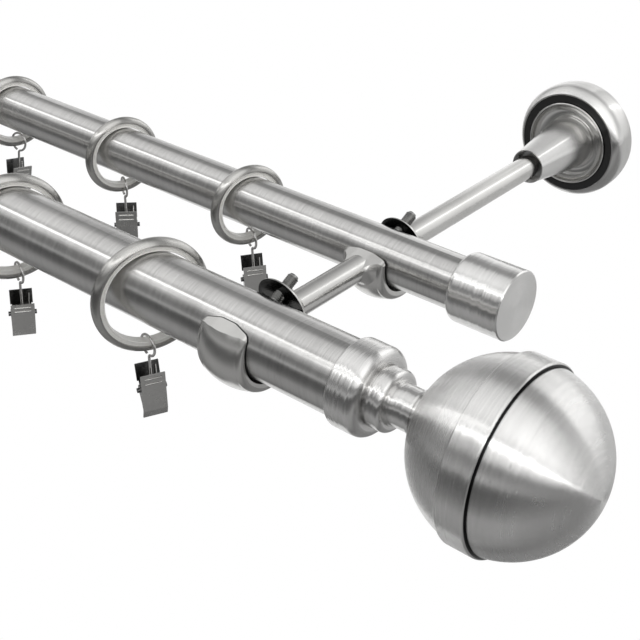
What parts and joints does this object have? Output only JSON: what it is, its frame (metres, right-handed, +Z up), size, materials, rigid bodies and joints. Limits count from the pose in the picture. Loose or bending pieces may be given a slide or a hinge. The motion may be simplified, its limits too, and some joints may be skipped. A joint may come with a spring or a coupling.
{
  "type": "double curtain pole",
  "caption": "Two parallel curtain poles, thick in front and thin behind, on two wall brackets, with ball finials, end caps and sliding rings that carry hooked clips.",
  "frame": {"origin": "on the wall plane, midway between the two brackets, at the height of the bracket arms", "axes": "+X along the poles, +Y into the wall, +Z up"},
  "size_m": [0.6574, 0.2338, 0.0812],
  "materials": {
    "pole_steel": "brushed nickel-plated steel tube",
    "screw_steel": "blackened steel",
    "arm_casting": "satin nickel plate on a zinc casting",
    "plate_steel": "plain zinc-plated steel",
    "rosette_steel": "brushed nickel-plated pressing",
    "insert_plastic": "glossy black",
    "cup_chrome": "polished",
    "cone_steel": "finely turned satin",
    "finial_steel": "turned and brushed round the axis",
    "ball_steel": "spun and brushed round the axis",
    "cap_steel": "brushed round the axis",
    "ring_steel": "satin nickel",
    "liner_plastic": "pale slippery plastic",
    "hook_wire": "nickel-plated wire",
    "clip_dark": "darker nickel inside",
    "clip_steel": "satin nickel stamping",
    "spring_wire": "spring wire"
  },
  "bodies": {
    "poles_and_brackets": {"clamp_screws": "screw_steel", "front_pole": "pole_steel", "grub_screws": "screw_steel", "left_ball_back_shell": "ball_steel", "left_ball_front_shell": "ball_steel", "left_bracket_arm": "arm_casting", "left_cone_cover": "cone_steel", "left_finial_neck": "finial_steel", "left_inner_cup": "cup_chrome", "left_rear_end_cap": "cap_steel", "left_rosette": "rosette_steel", "left_rosette_insert": "insert_plastic", "left_wall_plate": "plate_steel", "rear_pole": "pole_steel", "right_ball_back_shell": "ball_steel", "right_ball_front_shell": "ball_steel", "right_bracket_arm": "arm_casting", "right_cone_cover": "cone_steel", "right_finial_neck": "finial_steel", "right_inner_cup": "cup_chrome", "right_rear_end_cap": "cap_steel", "right_rosette": "rosette_steel", "right_rosette_insert": "insert_plastic", "right_wall_plate": "plate_steel"},
    "front_ring_1": {"front_ring_1": "ring_steel", "front_ring_1_liner": "liner_plastic"},
    "front_hook_1": {"front_ring_1_hook": "hook_wire"},
    "front_clip_1": {"front_ring_1_clip_back": "clip_dark", "front_ring_1_clip_spring": "spring_wire"},
    "front_jaw_1": {"front_ring_1_clip_front": "clip_steel"},
    "front_ring_2": {"front_ring_2": "ring_steel", "front_ring_2_liner": "liner_plastic"},
    "front_hook_2": {"front_ring_2_hook": "hook_wire"},
    "front_clip_2": {"front_ring_2_clip_back": "clip_dark", "front_ring_2_clip_spring": "spring_wire"},
    "front_jaw_2": {"front_ring_2_clip_front": "clip_steel"},
    "front_ring_3": {"front_ring_3": "ring_steel", "front_ring_3_liner": "liner_plastic"},
    "front_hook_3": {"front_ring_3_hook": "hook_wire"},
    "front_clip_3": {"front_ring_3_clip_back": "clip_dark", "front_ring_3_clip_spring": "spring_wire"},
    "front_jaw_3": {"front_ring_3_clip_front": "clip_steel"},
    "rear_ring_1": {"rear_ring_1": "ring_steel", "rear_ring_1_liner": "liner_plastic"},
    "rear_hook_1": {"rear_ring_1_hook": "hook_wire"},
    "rear_clip_1": {"rear_ring_1_clip_back": "clip_dark", "rear_ring_1_clip_spring": "spring_wire"},
    "rear_jaw_1": {"rear_ring_1_clip_front": "clip_steel"},
    "rear_ring_2": {"rear_ring_2": "ring_steel", "rear_ring_2_liner": "liner_plastic"},
    "rear_hook_2": {"rear_ring_2_hook": "hook_wire"},
    "rear_clip_2": {"rear_ring_2_clip_back": "clip_dark", "rear_ring_2_clip_spring": "spring_wire"},
    "rear_jaw_2": {"rear_ring_2_clip_front": "clip_steel"},
    "rear_ring_3": {"rear_ring_3": "ring_steel", "rear_ring_3_liner": "liner_plastic"},
    "rear_hook_3": {"rear_ring_3_hook": "hook_wire"},
    "rear_clip_3": {"rear_ring_3_clip_back": "clip_dark", "rear_ring_3_clip_spring": "spring_wire"},
    "rear_jaw_3": {"rear_ring_3_clip_front": "clip_steel"}
  },
  "joints": [
    {"name": "front_ring_1_slide", "type": "slide", "parent": "poles_and_brackets", "child": "front_ring_1", "axis": [1, 0, 0], "range_m": [-0.0595, 0.0264]},
    {"name": "front_ring_1_hook_swing", "type": "hinge", "parent": "front_ring_1", "child": "front_hook_1", "pos_m": [0.15815, -0.20734, -0.02314], "axis": [0.342, 0.9397, 0], "range_deg": [-60, 60]},
    {"name": "front_ring_1_clip_swing", "type": "hinge", "parent": "front_hook_1", "child": "front_clip_1", "pos_m": [0.15815, -0.20734, -0.04124], "axis": [0.4384, 0.8988, 0], "range_deg": [-2.5, 19.5]},
    {"name": "front_ring_1_jaw", "type": "hinge", "parent": "front_clip_1", "child": "front_jaw_1", "pos_m": [0.15815, -0.20734, -0.04124], "axis": [-0.4384, -0.8988, 0], "range_deg": [0, 11], "stiffness_Nm_per_rad": 0.005, "springref_deg": -17.19, "deforming": ["front_ring_1_clip_spring"]},
    {"name": "front_ring_2_slide", "type": "slide", "parent": "poles_and_brackets", "child": "front_ring_2", "axis": [1, 0, 0], "range_m": [-0.1525, 0.0595]},
    {"name": "front_ring_2_hook_swing", "type": "hinge", "parent": "front_ring_2", "child": "front_hook_2", "pos_m": [0.08367, -0.20453, -0.02329], "axis": [0.342, 0.9397, 0], "range_deg": [-60, 60]},
    {"name": "front_ring_2_clip_swing", "type": "hinge", "parent": "front_hook_2", "child": "front_clip_2", "pos_m": [0.08316, -0.20532, -0.04137], "axis": [0.5439, 0.8375, -0.0523], "range_deg": [-19, 3]},
    {"name": "front_ring_2_jaw", "type": "hinge", "parent": "front_clip_2", "child": "front_jaw_2", "pos_m": [0.08316, -0.20532, -0.04137], "axis": [-0.5439, -0.8375, 0.0523], "range_deg": [0, 11], "stiffness_Nm_per_rad": 0.005, "springref_deg": -17.19, "deforming": ["front_ring_2_clip_spring"]},
    {"name": "front_ring_3_slide", "type": "slide", "parent": "poles_and_brackets", "child": "front_ring_3", "axis": [1, 0, 0], "range_m": [-0.1004, 0.1525]},
    {"name": "front_ring_3_hook_swing", "type": "hinge", "parent": "front_ring_3", "child": "front_hook_3", "pos_m": [-0.085, -0.205, -0.0233], "axis": [0.342, 0.9397, 0], "range_deg": [-60, 60]},
    {"name": "front_ring_3_clip_swing", "type": "hinge", "parent": "front_hook_3", "child": "front_clip_3", "pos_m": [-0.085, -0.205, -0.0414], "axis": [0.5, 0.866, 0], "range_deg": [-11, 11]},
    {"name": "front_ring_3_jaw", "type": "hinge", "parent": "front_clip_3", "child": "front_jaw_3", "pos_m": [-0.085, -0.205, -0.0414], "axis": [-0.5, -0.866, 0], "range_deg": [0, 11], "stiffness_Nm_per_rad": 0.005, "springref_deg": -17.19, "deforming": ["front_ring_3_clip_spring"]},
    {"name": "rear_ring_1_slide", "type": "slide", "parent": "poles_and_brackets", "child": "rear_ring_1", "axis": [1, 0, 0], "range_m": [-0.0553, 0.0449]},
    {"name": "rear_ring_1_hook_swing", "type": "hinge", "parent": "rear_ring_1", "child": "rear_hook_1", "pos_m": [0.14076, -0.13655, -0.01639], "axis": [0.2672, 0.9636, 0], "range_deg": [-60, 60]},
    {"name": "rear_ring_1_clip_swing", "type": "hinge", "parent": "rear_hook_1", "child": "rear_clip_1", "pos_m": [0.14115, -0.13605, -0.03448], "axis": [0.6084, 0.7929, 0.0349], "range_deg": [-8, 14]},
    {"name": "rear_ring_1_jaw", "type": "hinge", "parent": "rear_clip_1", "child": "rear_jaw_1", "pos_m": [0.14115, -0.13605, -0.03448], "axis": [-0.6084, -0.7929, -0.0349], "range_deg": [0, 11], "stiffness_Nm_per_rad": 0.005, "springref_deg": -17.19, "deforming": ["rear_ring_1_clip_spring"]},
    {"name": "rear_ring_2_slide", "type": "slide", "parent": "poles_and_brackets", "child": "rear_ring_2", "axis": [1, 0, 0], "range_m": [-0.0552, 0.0553]},
    {"name": "rear_ring_2_hook_swing", "type": "hinge", "parent": "rear_ring_2", "child": "rear_hook_2", "pos_m": [0.06913, -0.13774, -0.01642], "axis": [0.2672, 0.9636, 0], "range_deg": [-60, 60]},
    {"name": "rear_ring_2_clip_swing", "type": "hinge", "parent": "rear_hook_2", "child": "rear_clip_2", "pos_m": [0.06892, -0.13797, -0.03452], "axis": [0.6882, 0.7253, -0.0175], "range_deg": [-1, 21]},
    {"name": "rear_ring_2_jaw", "type": "hinge", "parent": "rear_clip_2", "child": "rear_jaw_2", "pos_m": [0.06892, -0.13797, -0.03452], "axis": [-0.6882, -0.7253, 0.0175], "range_deg": [0, 11], "stiffness_Nm_per_rad": 0.005, "springref_deg": -17.19, "deforming": ["rear_ring_2_clip_spring"]},
    {"name": "rear_ring_3_slide", "type": "slide", "parent": "poles_and_brackets", "child": "rear_ring_3", "axis": [1, 0, 0], "range_m": [-0.1834, 0.0552]},
    {"name": "rear_ring_3_hook_swing", "type": "hinge", "parent": "rear_ring_3", "child": "rear_hook_3", "pos_m": [-0.00193, -0.13726, -0.01642], "axis": [0.2672, 0.9636, 0], "range_deg": [-60, 60]},
    {"name": "rear_ring_3_clip_swing", "type": "hinge", "parent": "rear_hook_3", "child": "rear_clip_3", "pos_m": [-0.00235, -0.13975, -0.03435], "axis": [0.1634, 0.9767, -0.1392], "range_deg": [-10, 12]},
    {"name": "rear_ring_3_jaw", "type": "hinge", "parent": "rear_clip_3", "child": "rear_jaw_3", "pos_m": [-0.00235, -0.13975, -0.03435], "axis": [-0.1634, -0.9767, 0.1392], "range_deg": [0, 11], "stiffness_Nm_per_rad": 0.005, "springref_deg": -17.19, "deforming": ["rear_ring_3_clip_spring"]}
  ]
}
